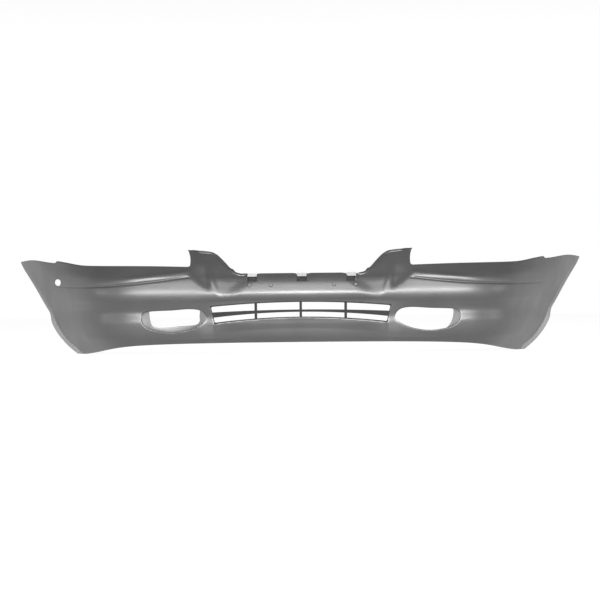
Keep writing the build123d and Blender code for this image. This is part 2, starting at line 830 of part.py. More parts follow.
build_fascia()
build_intake_grille()
build_fog_sleeves()
build_grille_clips()
build_top_retainer()
build_fender_brackets()
build_plate_plugs()
build_push_rivets()
spring_nuts(nut_planes(), "undertray_nuts")
spring_nuts(arch_nut_planes(1), "arch_nuts_right")
spring_nuts(arch_nut_planes(-1), "arch_nuts_left")
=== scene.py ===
import math

import bmesh
import bpy
import numpy as np
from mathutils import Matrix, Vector


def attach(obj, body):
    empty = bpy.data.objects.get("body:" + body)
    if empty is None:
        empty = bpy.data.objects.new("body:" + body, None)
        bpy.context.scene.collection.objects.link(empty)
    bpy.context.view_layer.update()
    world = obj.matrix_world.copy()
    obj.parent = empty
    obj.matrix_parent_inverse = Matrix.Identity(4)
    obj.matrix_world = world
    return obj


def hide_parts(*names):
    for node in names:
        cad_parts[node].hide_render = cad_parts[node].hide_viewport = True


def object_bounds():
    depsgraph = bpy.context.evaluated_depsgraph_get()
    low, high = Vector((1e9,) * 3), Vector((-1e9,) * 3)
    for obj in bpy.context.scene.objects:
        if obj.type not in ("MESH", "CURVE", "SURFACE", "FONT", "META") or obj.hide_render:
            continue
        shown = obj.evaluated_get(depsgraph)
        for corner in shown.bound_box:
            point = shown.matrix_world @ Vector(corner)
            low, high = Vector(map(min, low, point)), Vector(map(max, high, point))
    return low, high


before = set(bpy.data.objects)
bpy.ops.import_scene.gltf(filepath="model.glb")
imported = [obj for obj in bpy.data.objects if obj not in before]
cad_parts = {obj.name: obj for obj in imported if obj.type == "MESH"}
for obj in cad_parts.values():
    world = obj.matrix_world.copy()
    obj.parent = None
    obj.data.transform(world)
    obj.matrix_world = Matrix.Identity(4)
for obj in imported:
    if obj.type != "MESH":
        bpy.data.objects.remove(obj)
cad_low, cad_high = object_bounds()

# A front bumper cover: its moulded skin and the two fog-lamp sleeves are modelled here, and the other parts
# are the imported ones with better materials.  Shapes are worked out in millimetres, with the same formulas as
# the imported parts, and turned into metres when a mesh is made.  x points to the right of the front view, y to
# the rear and z up.  Along the skin, s is the distance along the nose line and reach is the distance of x
# from the middle.

MM = 0.001
CAD_LOW, CAD_HIGH = np.array(cad_low) / MM, np.array(cad_high) / MM
BOX_MARGIN = 0.1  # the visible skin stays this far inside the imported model's box
NOSE_Y = -330.0

# ---- The skin surface: a nose line in plan, and upright sections of (height, setback) along it ----

FRONT_RADIUS = 1700.0
CORNER_TURN = math.radians(30.0)
CORNER_START, CORNER_END = 420.0, 700.0
LINE_STEP = 2.0
CENTRE_SECTION = [
    (310, 90), (262, 50), (231, 26), (216, 13), (200, 5), (178, 0), (162, 3), (150, 11),
    (107, 20), (85, 21), (55, 29), (35, 45), (15, 64), (-20, 92),
]
WING_SECTION = [
    (310, 88), (262, 44), (231, 15), (216, 6), (198, 2), (178, 0), (160, 3), (145, 12),
    (124, 21), (92, 20), (55, 29), (32, 46), (10, 66), (-20, 92),
]
SIDE_SECTION = [
    (310, -6), (265, 5), (240, 13), (222, 19), (204, 25), (178, 33), (158, 39), (143, 44),
    (122, 51), (92, 56), (60, 65), (35, 76), (10, 90), (-20, 108),
]
CENTRE_HALF, WING_FROM, WING_TO, SIDE_FROM = 190.0, 340.0, 560.0, 1000.0

# ---- Outlines of (x, z) in front view; the wheel arch is (distance behind the nose, z) from the side ----

TOP_Z = 231.0
TIP_X = 960.0
CORNER_RADIUS = 7.0
ARCH = [(652, 270), (612, 233), (560, 175), (520, 117), (492, 71), (470, 44), (455, 28), (415, 0)]
LIP = [(650, 0), (628, 3), (542, 20), (426, 31), (282, 35), (0, 37)]
CREASE = [(322, 216), (425, 205), (550, 199), (640, 199), (735, 203)]
MOUTH = (266.0, 452.0, 67.0, 131.0)  # inner, outer, low and high side of the fog-lamp opening
LAMP = [  # its shape, as shares of that box
    (0, 0.60), (0.05, 0.88), (0.16, 1), (0.5, 0.975), (0.86, 0.93), (0.985, 0.8), (1, 0.62),
    (0.985, 0.42), (0.90, 0.2), (0.72, 0.05), (0.54, 0), (0.3, 0.09), (0.09, 0.32),
]
INTAKE_END = 254.0
CLIP_X = (-133.0, 6.0, 145.0)
NOTCH_BEFORE, NOTCH_AFTER, NOTCH_LOW, NOTCH_HIGH = 16.5, 12.0, 208.0, 228.0
HOLE = (-726.0, 214.5, 24.0, 19.0)

FLANGE = 18.0
SHEET = 2.4
CURVE_STEP = 2.0


def ease(value):
    value = np.clip(value, 0.0, 1.0)
    return value * value * (3 - 2 * value)


def ramp(value, start, end):
    """Rises smoothly from 0 at start to 1 at end."""
    return ease((value - start) / (end - start))


def bump(value, half):
    """A smooth hump from 1 at zero to 0 at half."""
    return ease(1 - np.abs(value) / half)


def mixed(a, b, share):
    return a + (b - a) * share


def turn_at(distance):
    """Direction of the nose line at a distance along it, from straight across."""
    distance = np.abs(distance)
    return distance / FRONT_RADIUS + CORNER_TURN * ramp(distance, CORNER_START, CORNER_END)


def nose_line(length=1500.0):
    middles = np.arange(0.0, length, LINE_STEP) + LINE_STEP / 2
    turn = turn_at(middles)
    x = np.concatenate([[0.0], np.cumsum(LINE_STEP * np.cos(turn))])
    y = np.concatenate([[NOSE_Y], NOSE_Y + np.cumsum(LINE_STEP * np.sin(turn))])
    return np.arange(len(x)) * LINE_STEP, x, y


LINE_S, LINE_X, LINE_Y = nose_line()


def nose_at(distance):
    """Place and direction of the nose line."""
    reach = np.abs(distance)
    x = np.interp(reach, LINE_S, LINE_X) * np.sign(distance)
    y = np.interp(reach, LINE_S, LINE_Y)
    return x, y, turn_at(distance) * np.sign(distance)


def catmull(rows, per_row=20):
    """Points of the smooth curve through the rows."""
    rows = np.array(rows, float)
    ends = np.vstack([rows[:1], rows, rows[-1:]])
    out = []
    for k in range(len(rows) - 1):
        a, b, c, d = ends[k:k + 4]
        f = np.linspace(0, 1, per_row, endpoint=False)[:, None]
        third = 1.5 * (b - c) + 0.5 * (d - a)
        second = a - 2.5 * b + 2 * c - 0.5 * d
        out.append(b + f * (0.5 * (c - a) + f * (second + f * third)))
    return np.vstack(out + [rows[-1:]])


# ---- Setback of the surface behind the nose line, on a fine table ----

TABLE_STEP_S, TABLE_STEP_Z = 4.0, 1.0
TABLE_S = np.arange(-330, 331) * TABLE_STEP_S
TABLE_Z = np.arange(-20, 311) * TABLE_STEP_Z


def setback_table():
    centre, wing, side = (catmull(rows) for rows in (CENTRE_SECTION, WING_SECTION, SIDE_SECTION))
    table = np.zeros((len(TABLE_S), len(TABLE_Z)))
    for i, distance in enumerate(TABLE_S):
        rows = mixed(centre, wing, ramp(abs(distance), CENTRE_HALF, WING_FROM))
        rows = mixed(rows, side, ramp(abs(distance), WING_TO, SIDE_FROM))
        table[i] = np.interp(TABLE_Z, rows[::-1, 0], rows[::-1, 1])
    return table


SETBACK = setback_table()


def setback_at(s, z):
    """The table's setback at a distance along the nose line and a height."""
    column = np.clip((s - TABLE_S[0]) / TABLE_STEP_S, 0, len(TABLE_S) - 1.001)
    row = np.clip((z - TABLE_Z[0]) / TABLE_STEP_Z, 0, len(TABLE_Z) - 1.001)
    i, k = column.astype(int), row.astype(int)
    u, v = column - i, row - k
    near = SETBACK[i, k] * (1 - v) + SETBACK[i, k + 1] * v
    far = SETBACK[i + 1, k] * (1 - v) + SETBACK[i + 1, k + 1] * v
    return near * (1 - u) + far * u


def place(s, z, depth):
    """Points of the surface moved inwards by depth."""
    x, y, turn = nose_at(s)
    back = setback_at(s, z) + depth
    return x - back * np.sin(turn), y + back * np.cos(turn), z


def along_at_x(x, z, depth=0.0):
    """Distance along the nose line at which the surface has that x."""
    s = np.array(x, float)
    for _ in range(12):
        error = place(s, z, depth)[0] - x
        s = s - error / np.cos(turn_at(s))
    return s


# ---- Distances to the outlines ----


def spline(points):
    """A natural cubic through the points, by chord length."""
    p = np.array(points, float)
    knots = np.concatenate([[0], np.cumsum(np.hypot(*(p[1:] - p[:-1]).T))])
    count = len(p)
    matrix = np.zeros((count, count))
    right = np.zeros((count, 2))
    matrix[0, 0] = matrix[-1, -1] = 1
    for k in range(1, count - 1):
        before, after = knots[k] - knots[k - 1], knots[k + 1] - knots[k]
        matrix[k, k - 1], matrix[k, k], matrix[k, k + 1] = before, 2 * (before + after), after
        right[k] = 6 * ((p[k + 1] - p[k]) / after - (p[k] - p[k - 1]) / before)
    bend = np.linalg.solve(matrix, right)
    at = np.linspace(0, knots[-1], max(2, int(knots[-1] / CURVE_STEP) + 1))
    k = np.clip(np.searchsorted(knots, at, side="right") - 1, 0, count - 2)
    h = (knots[k + 1] - knots[k])[:, None]
    u, v = (at - knots[k])[:, None], (knots[k + 1] - at)[:, None]
    cubic = (bend[k] * v ** 3 + bend[k + 1] * u ** 3) / (6 * h)
    return cubic + (p[k] / h - bend[k] * h / 6) * v + (p[k + 1] / h - bend[k + 1] * h / 6) * u


def rounded(points):
    """A smooth closed curve through the points."""
    points = np.array(points, float)
    closed = spline(np.vstack([points[-4:], points, points[:5]]))
    gap = np.hypot(*(closed - points[0]).T)
    half = len(closed) // 2
    return closed[np.argmin(gap[:half]):half + np.argmin(gap[half:])]


def whole_outline():
    """The cover's whole outline, except that the wheel arches are left to arch_side."""
    centre_x, centre_z = 318.5, 259.0
    corner = [(centre_x + CORNER_RADIUS * math.cos(angle), centre_z + CORNER_RADIUS * math.sin(angle))
              for angle in np.radians(np.arange(180, 271, 15))]
    pieces = [
        np.array([(0, TOP_Z), (165, TOP_Z)]),
        spline([(165, TOP_Z), (181, 235), (199, 249), (223, 274), (238, 287), (252, 294.5)]),
        spline([(252, 294.5), (284, 298.5), (321, 301)]),
        spline([(321, 301), (314, 286), (311.5, 271), (311.5, 259)]),
        np.array(corner),
        spline([(318.5, 252), (426, 255.5), (604, 260.5), (648, 264), (690, 272), (727, 279)]),
        spline([(735, 273), (760, 276), (827, 286), (870, 285)]),
        np.array([(TIP_X, 283), (TIP_X, 0)]),
        spline(LIP),
    ]
    right = np.vstack(pieces)
    return np.vstack([right, right[::-1] * (-1, 1)])


def arch_side():
    """The side of each wheel-arch edge that the skin lies on, as (y, z)."""
    edge = spline([(NOSE_Y + y, z) for y, z in ARCH])
    tip = np.array([(330, 279), (330, 340), (-480, 340), (-480, -60)])
    return np.vstack([tip[::-1], edge, [(edge[-1][0] - 20, -60)]])


def arc(p, q, r, count=40):
    """Points of the circle arc from p over q to r."""
    (ax, ay), (bx, by), (cx, cy) = p, q, r
    a, b, c = ax ** 2 + ay ** 2, bx ** 2 + by ** 2, cx ** 2 + cy ** 2
    d = 2 * (ax * (by - cy) + bx * (cy - ay) + cx * (ay - by))
    ux = (a * (by - cy) + b * (cy - ay) + c * (ay - by)) / d
    uy = (a * (cx - bx) + b * (ax - cx) + c * (bx - ax)) / d
    radius = math.hypot(ax - ux, ay - uy)
    a0, a1, a2 = (math.atan2(y - uy, x - ux) for x, y in (p, q, r))
    if (a1 - a0) * (a2 - a1) < 0:
        a2 += 2 * math.pi if a1 > a0 else -2 * math.pi
    angle = np.linspace(a0, a2, count)
    return np.column_stack([ux + radius * np.cos(angle), uy + radius * np.sin(angle)])


def intake_mouth():
    top = arc((-INTAKE_END, 139), (0, 151), (INTAKE_END, 139))
    low = arc((INTAKE_END - 11, 92), (0, 107), (11 - INTAKE_END, 92))
    return np.vstack([top, low])


def lamp_outline(side, grow=0.0):
    """The fog-lamp opening of one side, grown all round."""
    inner, outer, low, high = MOUTH
    wide, tall = outer - inner + 2 * grow, high - low + 2 * grow
    return rounded([(inner - grow + u * wide, low - grow + v * tall) for u, v in LAMP]) * (side, 1)


def box_outline(x0, x1, z0, z1):
    return np.array([(x0, z0), (x1, z0), (x1, z1), (x0, z1)], float)


def slot_outline(x, z, width, height):
    angle = np.linspace(-math.pi / 2, math.pi / 2, 12)
    r, reach = height / 2, (width - height) / 2
    end = np.column_stack([x + reach + r * np.cos(angle), z + r * np.sin(angle)])
    return np.vstack([end, [(2 * x, 2 * z)] - end])


CHUNK = 8000  # points measured at a time


def distance_to(polygon, px, pz):
    """Signed distance to a closed polygon, negative inside."""
    shape = px.shape
    p = np.column_stack([px.ravel(), pz.ravel()])
    best = np.zeros(len(p))
    inside = np.zeros(len(p), bool)
    for start in range(0, len(p), CHUNK):
        q = p[start:start + CHUNK]
        near = np.full(len(q), np.inf)
        odd = np.zeros(len(q), bool)
        for (x0, z0), (x1, z1) in zip(polygon, np.roll(polygon, -1, axis=0)):
            dx, dz = x1 - x0, z1 - z0
            length = dx * dx + dz * dz
            if length < 1e-12:
                continue
            t = np.clip(((q[:, 0] - x0) * dx + (q[:, 1] - z0) * dz) / length, 0, 1)
            near = np.minimum(near, (q[:, 0] - x0 - t * dx) ** 2 + (q[:, 1] - z0 - t * dz) ** 2)
            if z0 != z1:
                cross = (z0 > q[:, 1]) != (z1 > q[:, 1])
                odd ^= cross & (q[:, 0] < x0 + (q[:, 1] - z0) * dx / dz)
        best[start:start + CHUNK] = np.sqrt(near)
        inside[start:start + CHUNK] = odd
    return np.where(inside, -best, best).reshape(shape)


OUTLINE = whole_outline()
ARCH_SIDE = arch_side()
NOTCHES = [box_outline(x - NOTCH_BEFORE, x + NOTCH_AFTER, NOTCH_LOW, NOTCH_HIGH) for x in CLIP_X]
OPENINGS = [intake_mouth(), lamp_outline(1), lamp_outline(-1), slot_outline(*HOLE)] + NOTCHES
EDGE_OUTLINE, EDGE_ARCH, EDGE_INTAKE, EDGE_LAMP, EDGE_SMALL = range(5)
OPENING_KIND = [EDGE_INTAKE, EDGE_LAMP, EDGE_LAMP, EDGE_SMALL] + [EDGE_SMALL] * 3
PLAIN_INSET, STEP_INSET, SMALL_INSET = 2.4, 7.6, 1.2  # how far inside its edge the open skin ends
OPENING_REACH = 14.0  # an opening is only measured this near to it


def edge_field(s, z):
    """Distance outside the nearest edge (negative on the skin) and the kind of that edge."""
    x, y, _ = place(s, z, 0.0)
    field = distance_to(OUTLINE, x, z)
    kind = np.full(s.shape, EDGE_OUTLINE)
    arch = distance_to(ARCH_SIDE, y, z)
    kind = np.where(arch > field, EDGE_ARCH, kind)
    field = np.maximum(field, arch)
    for polygon, name in zip(OPENINGS, OPENING_KIND):
        (x0, z0), (x1, z1) = polygon.min(0) - OPENING_REACH, polygon.max(0) + OPENING_REACH
        near = (x > x0) & (x < x1) & (z > z0) & (z < z1)
        if near.any():
            out = np.full(s.shape, -np.inf)
            out[near] = -distance_to(polygon, x[near], z[near])
            kind = np.where(out > field, name, kind)
            field = np.maximum(field, out)
    return field, kind


RIM_STARTS, RIM_ENDS, RIM_ABOVE = (182, 198), (285, 307), (238, 248)  # in reach, in reach and in height


def stepped(x, z):
    """1 along the inner slopes and tops of the fangs, which have a stepped rim, and 0 elsewhere."""
    reach = np.abs(x)
    return ramp(reach, *RIM_STARTS) * ramp(z, *RIM_ABOVE) * (1 - ramp(reach, *RIM_ENDS))


def level_field(s, z):
    """Distance outside the line where the open skin ends and its rolled edge begins."""
    field, kind = edge_field(s, z)
    x, _, _ = place(s, z, 0.0)
    inset = np.where(kind == EDGE_OUTLINE, mixed(PLAIN_INSET, STEP_INSET, stepped(x, z)), PLAIN_INSET)
    inset = np.where(kind == EDGE_SMALL, SMALL_INSET, inset)
    return field + inset


PROBE, LEAST_SLOPE = 0.6, 0.3


def outward(s, z, field):
    """Step in (s, z) that raises the field by one millimetre."""
    ds = (field(s + PROBE, z) - field(s - PROBE, z)) / (2 * PROBE)
    dz = (field(s, z + PROBE) - field(s, z - PROBE)) / (2 * PROBE)
    size = np.maximum(ds * ds + dz * dz, LEAST_SLOPE)
    return ds / size, dz / size


# ---- Fine shape of the skin: each relief is a setback in millimetres, negative where it stands proud ----
#
# A pair is a range over which something fades in or out, in reach or in height, and the other values are
# millimetres, slants or shares.

CREASE_LINE = spline(CREASE)
CREASE_STARTS, CREASE_ENDS = (306, 322), (690, 750)
CREASE_DEPTH, CREASE_HALF, CREASE_DROP = 2.4, 4.8, 0.5
LEFT_CREASE_RISE, LEFT_CREASE_FADE = 6.0, (330, 640)
LEDGE_STEP, LEDGE_FOOT, LEDGE_RISE = 5.0, 2.5, 12
LEDGE_TOP_FADE, LEDGE_SIDE_FADE = (15, 26), (400, 600)  # the first in height above the crease


def crease_height(x):
    """Height of the wing's crease; on the left wing it starts a little higher."""
    reach = np.abs(x)
    rise = LEFT_CREASE_RISE * (x < 0) * (1 - ramp(reach, *LEFT_CREASE_FADE))
    return np.interp(reach, CREASE_LINE[:, 0], CREASE_LINE[:, 1]) + rise


def crease_relief(x, z):
    """The groove along each wing and the upright ledge above it."""
    reach = np.abs(x)
    above = z - crease_height(x)
    along = ramp(reach, *CREASE_STARTS) * (1 - ramp(reach, *CREASE_ENDS))
    ledge = np.clip((above - LEDGE_FOOT) / LEDGE_RISE, 0, 1)
    ledge = ledge * (1 - ramp(above, *LEDGE_TOP_FADE)) * (1 - ramp(reach, *LEDGE_SIDE_FADE))
    return along * (CREASE_DEPTH * bump(above + CREASE_DROP, CREASE_HALF) - LEDGE_STEP * ledge)


RIDGE_REACH, RIDGE_SLANT, RIDGE_LOW, RIDGE_HIGH = 240, 0.2, 158, 214
RIDGE_HALF, RIDGE_SPREAD = 3, 5  # its half width at the top, and how much it grows towards its foot
FANG_INNER, FANG_INNER_Z, FANG_INNER_SLANT, FANG_INNER_LEAST = 190, 186, 1.17, 165
FANG_FACE, FANG_FACE_FOOT, FANG_FACE_MIDDLE, FANG_TOP = 5.13, 146, 200, 262
FANG_INNER_BEFORE, FANG_INNER_AFTER, FANG_RIDGE_BEFORE = 40, 16, 14
HOLLOW_DEPTH, HOLLOW_SIDE_FADE, HOLLOW_TOP_FADE = 9.0, (280, 318), (222, FANG_TOP)
HOLLOW_Z, HOLLOW_REACH, HOLLOW_SLANT = 182, 256, 0.6  # a place on its shoulder, and how that rises outwards
HOLLOW_BELOW, HOLLOW_ABOVE, HOLLOW_BEFORE, HOLLOW_AFTER = 6, 24, 1, 12


def fang_relief(reach, z):
    """The foot of each fang: a face ending in a point, a ridge beside it and a hollow outside the ridge."""
    ridge = RIDGE_REACH + RIDGE_SLANT * (z - RIDGE_LOW)
    half = RIDGE_HALF + RIDGE_SPREAD * (1 - ramp(z, RIDGE_LOW, RIDGE_HIGH))
    inner = np.maximum(FANG_INNER + (FANG_INNER_Z - z) * FANG_INNER_SLANT, FANG_INNER_LEAST)
    inside = ramp(reach, inner - FANG_INNER_BEFORE, inner + FANG_INNER_AFTER)
    inside = inside * (1 - ramp(reach, ridge - half - FANG_RIDGE_BEFORE, ridge - half))
    face = FANG_FACE * ramp(z, FANG_FACE_FOOT, FANG_FACE_MIDDLE) * (1 - ramp(z, FANG_FACE_MIDDLE, FANG_TOP))
    shoulder = HOLLOW_Z + (reach - HOLLOW_REACH) * HOLLOW_SLANT
    hollow = HOLLOW_DEPTH * ramp(z, shoulder - HOLLOW_BELOW, shoulder + HOLLOW_ABOVE)
    hollow = hollow * ramp(reach, ridge + half - HOLLOW_BEFORE, ridge + half + HOLLOW_AFTER)
    hollow = hollow * (1 - ramp(reach, *HOLLOW_SIDE_FADE)) * (1 - ramp(z, *HOLLOW_TOP_FADE))
    return face * inside + hollow


INTAKE_SILL, INTAKE_SAG, INTAKE_HALF = 107, 15, 243  # its lower edge is a shallow bow
INTAKE_LEAN, INTAKE_LEAN_TALL, INTAKE_LEAN_TOP, INTAKE_SIDE_FADE = 7.0, 30, (3, 12), (190, 250)


def intake_relief(reach, z):
    """The face below the intake leans out towards the opening."""
    below = INTAKE_SILL - INTAKE_SAG * (reach / INTAKE_HALF) ** 2 - z
    lean = (1 - np.clip(below / INTAKE_LEAN_TALL, 0, 1)) * (1 - ramp(-below, *INTAKE_LEAN_TOP))
    return -INTAKE_LEAN * lean * (1 - ramp(reach, *INTAKE_SIDE_FADE))


BAND_WIDTH, BAND_GROWTH, BAND_FOOT, BAND_TALL = 18, 7, 20, 170
# The next two lines shape a painted highlight: a lighter colour along each wheel arch that stands in for the
# light its band catches.
HIGHLIGHT_SOFT, HIGHLIGHT_FROM_X = 4, 600
HIGHLIGHT_UPPER, HIGHLIGHT_LOWER, HIGHLIGHT_CHANGE, HIGHLIGHT_TOP_FADE = 0.55, 0.45, (96, 150), (215, 262)  # lower: added
ARCH_CREASE, ARCH_CREASE_WIDE, ARCH_CREASE_FADE = 2.6, 7, (232, 262)
ARCH_FLARE, ARCH_FLARE_FADE = 7.0, (88, 128)


def arch_gap(y, z):
    """Distance to the wheel-arch edge, positive on the skin."""
    return -distance_to(ARCH_SIDE, y, z)


def band_width(z):
    """Width of the band along the wheel arch, which grows towards its foot."""
    return BAND_WIDTH + BAND_GROWTH * (1 - np.clip((z - BAND_FOOT) / BAND_TALL, 0, 1))


def painted_highlight_share(s, z):
    """How strong the painted highlight along the wheel arch is at a place: a lighter colour that stands in for
    light on the band.
    """
    x, y, _ = place(s, z, 0.0)
    width = band_width(z)
    near = (1 - ramp(arch_gap(y, z), width - HIGHLIGHT_SOFT, width)) * (np.abs(x) > HIGHLIGHT_FROM_X)
    strength = HIGHLIGHT_UPPER + HIGHLIGHT_LOWER * (1 - ramp(z, *HIGHLIGHT_CHANGE))
    return near * strength * (1 - ramp(z, *HIGHLIGHT_TOP_FADE))


def arch_relief(y, z):
    """A band along each wheel arch that rises from a crease to the edge and flares out near its foot."""
    gap = arch_gap(y, z)
    width = band_width(z)
    rise = np.clip(gap / width, 0, 1)
    crease = ARCH_CREASE * rise * (1 - ramp(gap, width, width + ARCH_CREASE_WIDE))
    crease = crease * (1 - ramp(z, *ARCH_CREASE_FADE))
    return crease - ARCH_FLARE * (1 - rise) * (1 - ramp(z, *ARCH_FLARE_FADE))


PILLAR_LEAN, PILLAR_RISE, PILLAR_TOP_FADE = 4.5, (10, 86), (88, 132)
PILLAR_STARTS, PILLAR_ENDS = (232, 250), (262, 290)


def pillar_relief(reach, z):
    """The pillar between the intake and each fog lamp faces down."""
    tilt = PILLAR_LEAN * ramp(z, *PILLAR_RISE) * (1 - ramp(z, *PILLAR_TOP_FADE))
    return tilt * ramp(reach, *PILLAR_STARTS) * (1 - ramp(reach, *PILLAR_ENDS))


LIP_LINE = spline(LIP)[::-1]
SWELL, SWELL_ABOVE, SWELL_HALF = 1.5, 12, 6
SWELL_STARTS, SWELL_ENDS = (120, 240), (380, 410)


def lip_relief(reach, z):
    """A fine swell that follows the bottom edge between the fog lamps and the middle."""
    above = z - np.interp(reach, LIP_LINE[:, 0], LIP_LINE[:, 1])
    swell = -SWELL * bump(above - SWELL_ABOVE, SWELL_HALF)
    return swell * ramp(reach, *SWELL_STARTS) * (1 - ramp(reach, *SWELL_ENDS))


def detail(s, z):
    """Extra setback of the skin for its creases, ledges and swells."""
    x, y, _ = place(s, z, 0.0)
    reach = np.abs(x)
    return (crease_relief(x, z) + intake_relief(reach, z) + pillar_relief(reach, z) + fang_relief(reach, z)
            + arch_relief(y, z) + lip_relief(reach, z))


# ---- The mesh of the open skin ----

COLUMN = 4.8
COLUMNS_EACH_SIDE = 261
GRID_LOW, GRID_HIGH = -6.0, 306.0
ROWS_BELOW, ROWS_ABOVE = 68, 26
CREASE_Z = 210.0  # about the height of the crease, for the x of each column
SNAP = 0.36  # grid points within this share of a cell from the edge move onto it
ROWS_NEAR_CREASE = [-16, -13, -10.5, -8.5, -6.5, -5, -4, -3, -2, -1, 0, 1, 2, 3.2, 4.5, 6, 8, 10.5, 13.5, 17]


def skin_grid():
    """A grid in (s, z) over the whole skin, with rows that follow the crease and lie closer beside it."""
    s = np.arange(-COLUMNS_EACH_SIDE, COLUMNS_EACH_SIDE + 1) * COLUMN
    x, _, _ = place(s, np.full(len(s), CREASE_Z), 0.0)
    near = crease_height(x)[:, None] + np.array(ROWS_NEAR_CREASE)
    below = mixed(GRID_LOW, near[:, :1], np.linspace(0, 1, ROWS_BELOW, endpoint=False))
    above = mixed(near[:, -1:], GRID_HIGH, np.linspace(0, 1, ROWS_ABOVE + 1)[1:])
    z = np.hstack([below, near, above])
    return np.repeat(s[:, None], z.shape[1], axis=1), z


def pull_to_edge(s, z, longest):
    """Moves points onto the line where the open skin ends."""
    for _ in range(2):
        step_s, step_z = outward(s, z, level_field)
        now = np.clip(level_field(s, z), -longest, longest)
        s = s - now * step_s
        z = z - now * step_z
    return s, z


def clip_skin():
    """The open skin as vertices in (s, z) and faces: the grid cut off where the skin ends."""
    s, z = skin_grid()
    level = level_field(s, z)
    gap_below = np.abs(np.diff(z, axis=1, prepend=z[:, :1] - 3))
    gap_above = np.abs(np.diff(z, axis=1, append=z[:, -1:] + 3))
    near = np.abs(level) < SNAP * np.minimum(np.minimum(gap_below, gap_above), COLUMN)
    s[near], z[near] = pull_to_edge(s[near], z[near], np.inf)
    level[near] = 0.0
    number = -np.ones(s.shape, int)
    points = []
    for i, k in zip(*np.where(level <= 0)):
        number[i, k] = len(points)
        points.append((s[i, k], z[i, k]))
    crossing = {}

    def cross(a, b):
        key = (a, b) if a < b else (b, a)
        if key not in crossing:
            share = level[a] / (level[a] - level[b])
            crossing[key] = len(points)
            points.append((s[a] + (s[b] - s[a]) * share, z[a] + (z[b] - z[a]) * share))
        return crossing[key]

    faces = []
    inside = level < 0
    keep = inside[:-1, :-1] | inside[1:, :-1] | inside[1:, 1:] | inside[:-1, 1:]
    for i, k in zip(*np.where(keep)):
        ring = [(i, k), (i + 1, k), (i + 1, k + 1), (i, k + 1)]
        face = []
        for a, b in zip(ring, ring[1:] + ring[:1]):
            if level[a] <= 0:
                face.append(number[a])
            if level[a] * level[b] < 0:
                face.append(cross(a, b))
        if len(face) > 2:
            faces.append(face)
    points = np.array(points)
    cut = np.array(sorted(crossing.values()))
    points[cut, 0], points[cut, 1] = pull_to_edge(points[cut, 0], points[cut, 1], 1.0)
    return points, faces


def edge_loops(faces):
    """Closed loops of vertices along the open edges, with the faces on their left."""
    following = {}
    seen = set()
    for face in faces:
        for a, b in zip(face, face[1:] + face[:1]):
            seen.add((a, b))
    for a, b in seen:
        if (b, a) not in seen:
            following.setdefault(a, []).append(b)
    loops = []
    while following:
        start = next(iter(following))
        loop = [start]
        while True:
            nexts = following.get(loop[-1])
            if not nexts:
                break
            step = nexts.pop()
            if not nexts:
                del following[loop[-1]]
            if step == start:
                break
            loop.append(step)
        loops.append(loop)
    return loops


# ---- Rolled edges: profiles of (distance outwards from the true edge, depth) ----

LIP_PROFILE = [(-PLAIN_INSET, 0), (-1.2, 0.32), (-0.32, 1.2), (0, 2.4), (0, 2.8), (0, 3.2), (0, 3.6)]
ARCH_PROFILE = [(-PLAIN_INSET, 0), (-1.2, 0.32), (-0.32, 1.2), (0, 2.4), (0, 7), (0, 12), (0, FLANGE)]
STEP_PROFILE = [(-STEP_INSET, 0), (-6.7, 1.6), (-6.3, 4.4), (-5.0, 6.0), (-3.0, 5.6), (-1.0, 4.6), (0, 6.6)]
INTAKE_RIM = [(-PLAIN_INSET, 0), (-1.2, 0.32), (-0.32, 1.2), (0, 2.4), (0, 6), (0, 10)]
LAMP_RIM = [(-PLAIN_INSET, 0), (-1.2, 0.32), (-0.32, 1.2), (0, 2.4), (0, 3.4)]
SMALL_RIM = [(-SMALL_INSET, 0), (-0.35, 0.35), (0, 1.2), (0, 1.8)]
FLANGE_DROP, FLANGE_END_X = 5.0, 735.0
FLANGE_DEPTHS = (1.4, 7.0, 12.5, FLANGE)
RELIEF_DEPTH = 4.0  # rings nearer the surface than this follow its relief
CORNERS = [(321, 301), (650, 0)]  # of the outline, which stay sharp
OUTLINE_LOOP = 1200  # the loop round the whole cover has more points than this


def smooth_loop(values, passes):
    for _ in range(passes):
        values = (np.roll(values, 1, axis=0) + 2 * values + np.roll(values, -1, axis=0)) / 4
    return values


def rolled_edge(loop, points):
    """Rings of points that carry the skin round one of its edges, and the strips of its returned flange."""
    s, z = points[loop, 0], points[loop, 1]
    _, kinds = edge_field(s, z)
    outer = len(loop) > OUTLINE_LOOP
    step = smooth_loop(np.column_stack(outward(s, z, lambda a, b: edge_field(a, b)[0])), 2)
    if not outer:
        kind = np.bincount(kinds).argmax()
        profile = {EDGE_INTAKE: INTAKE_RIM, EDGE_LAMP: LAMP_RIM}.get(kind, SMALL_RIM)
        return [(s + step[:, 0] * (out - profile[0][0]), z + step[:, 1] * (out - profile[0][0]),
                 np.full(len(loop), float(depth))) for out, depth in profile[1:]], []
    x, _, _ = place(s, z, 0.0)
    share = smooth_loop(stepped(x, z)[:, None], 3)[:, 0]
    arch = smooth_loop((kinds == EDGE_ARCH).astype(float)[:, None], 6)[:, 0]
    start = mixed(-PLAIN_INSET, -STEP_INSET, share)
    for corner_x, corner_z in CORNERS:
        for side in (-1, 1):
            goal = along_at_x(side * corner_x, np.array(float(corner_z)))
            nearest = np.argmin((s - goal) ** 2 + (z - corner_z) ** 2)
            step[nearest] = np.array((goal - s[nearest], corner_z - z[nearest])) / -start[nearest]
    rings = []
    for lip, turned, stepped_point in list(zip(LIP_PROFILE, ARCH_PROFILE, STEP_PROFILE))[1:]:
        out = mixed(mixed(lip[0], turned[0], arch), stepped_point[0], share) - start
        depth = mixed(mixed(lip[1], turned[1], arch), stepped_point[1], share)
        rings.append((s + step[:, 0] * out, z + step[:, 1] * out, depth))
    strips = []
    drop = -FLANGE_DROP - start
    has_flange = (kinds == EDGE_OUTLINE) & (np.abs(x) < FLANGE_END_X)
    for depth in FLANGE_DEPTHS:
        strips.append((s + step[:, 0] * drop, z + step[:, 1] * drop, np.full(len(loop), depth), has_flange))
    return rings, strips


